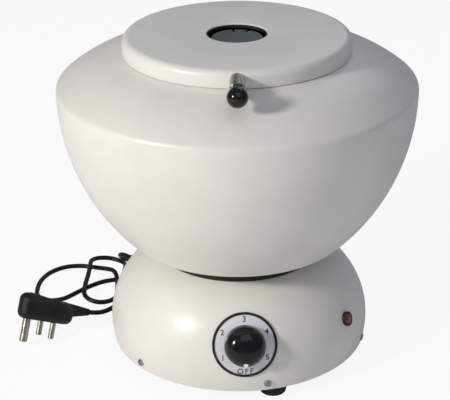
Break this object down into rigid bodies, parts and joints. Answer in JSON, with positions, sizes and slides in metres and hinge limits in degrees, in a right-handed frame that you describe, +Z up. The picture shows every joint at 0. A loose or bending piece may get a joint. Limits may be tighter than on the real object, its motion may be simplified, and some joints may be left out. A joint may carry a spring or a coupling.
{
  "type": "clinical centrifuge",
  "caption": "Painted clinical bench centrifuge with a round lid, a swing-out rotor, a speed dial and a mains cord.",
  "frame": {"origin": "on the floor under the spin axis", "axes": "+Z up along the spin axis, the speed dial and the lid's knob face -Y, +X to the right seen from the front"},
  "size_m": [0.3472, 0.3317, 0.2868],
  "materials": {
    "casing_paint": "satin",
    "zinc_plate": "satin",
    "black_rubber": "matte",
    "steel_screws": "satin",
    "nickel": "polished",
    "dial_face": "satin",
    "dial_border": "matte",
    "black_plastic": "gloss",
    "pointer_white": "gloss",
    "regulator_case": "matte",
    "brass_parts": "satin",
    "lamp_red": "gloss",
    "cast_aluminium": "matte",
    "machined_aluminium": "satin",
    "motor_paint": "satin",
    "lamination_steel": "matte",
    "copper_windings": "satin",
    "carbon": "matte",
    "bearing_steel": "polished",
    "cup_steel": "satin",
    "cord_black": "satin",
    "terminal_cream": "matte"
  },
  "bodies": {
    "stand": {"base_shell": "casing_paint", "bowl_pan": "casing_paint", "bowl_shell": "casing_paint", "bowl_top": "casing_paint", "base_plate": "zinc_plate", "rubber_feet": "black_rubber", "motor_isolators": "black_rubber", "opening_gasket": "black_rubber", "neck_collar": "black_rubber", "shaft_seal": "black_rubber", "side_screws": "steel_screws", "foot_screws": "steel_screws", "hinge_base_screws": "steel_screws", "hinge_pin": "steel_screws", "mounting_bolts": "steel_screws", "regulator_nut": "steel_screws", "hinge_base_leaf": "nickel", "plug_pins": "nickel", "dial_plate": "dial_face", "dial_ring": "dial_border", "lamp_bezel": "black_plastic", "regulator_housing": "regulator_case", "brush_holders": "regulator_case", "lamp_holder": "regulator_case", "lamp_lens": "lamp_red", "motor_top_cap": "cast_aluminium", "motor_bottom_cap": "cast_aluminium", "motor_housing": "motor_paint", "stator_core": "lamination_steel", "field_coils": "copper_windings", "carbon_brushes": "carbon", "shaft_bearings": "bearing_steel", "cord_gland": "cord_black", "cord_lead": "cord_black", "cord_coil": "cord_black", "cord_run": "cord_black", "plug_body": "cord_black", "plug_relief": "cord_black", "terminal_block": "terminal_cream"},
    "lid": {"lid_shell": "casing_paint", "knob_ferrule": "nickel", "lid_knob": "black_plastic", "hinge_lid_leaf": "nickel", "hinge_lid_screws": "steel_screws"},
    "rotor": {"motor_shaft": "bearing_steel", "armature": "lamination_steel", "commutator": "brass_parts", "rotor_head": "cast_aluminium", "rotor_nut": "machined_aluminium"},
    "regulator": {"control_knob": "black_plastic", "knob_pointer": "pointer_white", "regulator_spindle": "brass_parts"},
    "bucket_1": {"trunnion_ring_1": "machined_aluminium", "bucket_cup_1": "cup_steel"},
    "bucket_2": {"trunnion_ring_2": "machined_aluminium", "bucket_cup_2": "cup_steel"},
    "bucket_3": {"trunnion_ring_3": "machined_aluminium", "bucket_cup_3": "cup_steel"},
    "bucket_4": {"trunnion_ring_4": "machined_aluminium", "bucket_cup_4": "cup_steel"}
  },
  "joints": [
    {"name": "lid_hinge", "type": "hinge", "parent": "stand", "child": "lid", "pos_m": [0, 0.1025, 0.27604], "axis": [-1, 0, 0], "range_deg": [0, 100]},
    {"name": "rotor_spin", "type": "hinge", "parent": "stand", "child": "rotor", "pos_m": [0, 0, 0.235], "axis": [0, 0, 1], "continuous": true},
    {"name": "control_turn", "type": "hinge", "parent": "stand", "child": "regulator", "pos_m": [0.00469, -0.10743, 0.054], "axis": [-0.0405, 0.9281, -0.37], "range_deg": [0, 300]},
    {"name": "bucket_1_swing", "type": "hinge", "parent": "rotor", "child": "bucket_1", "pos_m": [0.03945, -0.0066, 0.235], "axis": [-0.165, -0.9863, 0], "range_deg": [0, 90]},
    {"name": "bucket_2_swing", "type": "hinge", "parent": "rotor", "child": "bucket_2", "pos_m": [0.0066, 0.03945, 0.235], "axis": [0.9863, -0.165, 0], "range_deg": [0, 90]},
    {"name": "bucket_3_swing", "type": "hinge", "parent": "rotor", "child": "bucket_3", "pos_m": [-0.03945, 0.0066, 0.235], "axis": [0.165, 0.9863, 0], "range_deg": [0, 90]},
    {"name": "bucket_4_swing", "type": "hinge", "parent": "rotor", "child": "bucket_4", "pos_m": [-0.0066, -0.03945, 0.235], "axis": [-0.9863, 0.165, 0], "range_deg": [0, 90]}
  ]
}
